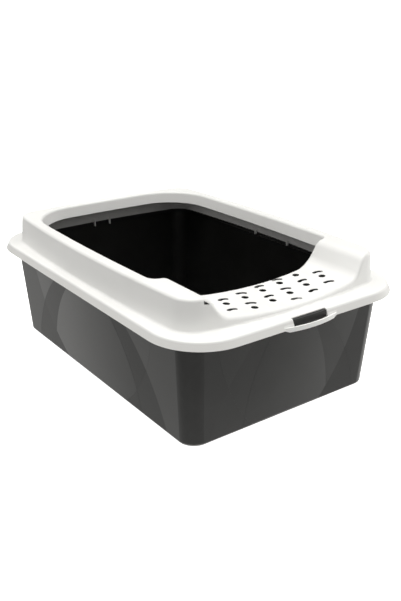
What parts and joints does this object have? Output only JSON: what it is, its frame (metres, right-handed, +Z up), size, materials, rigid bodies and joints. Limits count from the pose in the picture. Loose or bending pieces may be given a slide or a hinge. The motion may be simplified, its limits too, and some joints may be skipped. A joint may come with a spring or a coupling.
{
  "type": "open cat litter tray",
  "caption": "Open-top litter tray: a deep drafted tub with a raised rim frame that clips over it, sloping inner lip and a low drained entry step at one end.",
  "frame": {"origin": "centre of the tub's flat underside, on the surface it stands on", "axes": "+Z up, +Y along the length towards the back, with the entry step at -Y, +X across the width"},
  "size_m": [0.3926, 0.5736, 0.2032],
  "materials": {
    "tub_plastic": "satin moulded plastic, dark grey, with shallow arched relief fields",
    "frame_plastic": "satin moulded plastic, white"
  },
  "bodies": {
    "tub": {"tub": "tub_plastic"},
    "frame": {"rim_frame": "frame_plastic"}
  },
  "joints": [
    {"name": "frame_lift", "type": "slide", "parent": "tub", "child": "frame", "axis": [0, 0, 1], "range_m": [0, 0.12]}
  ]
}
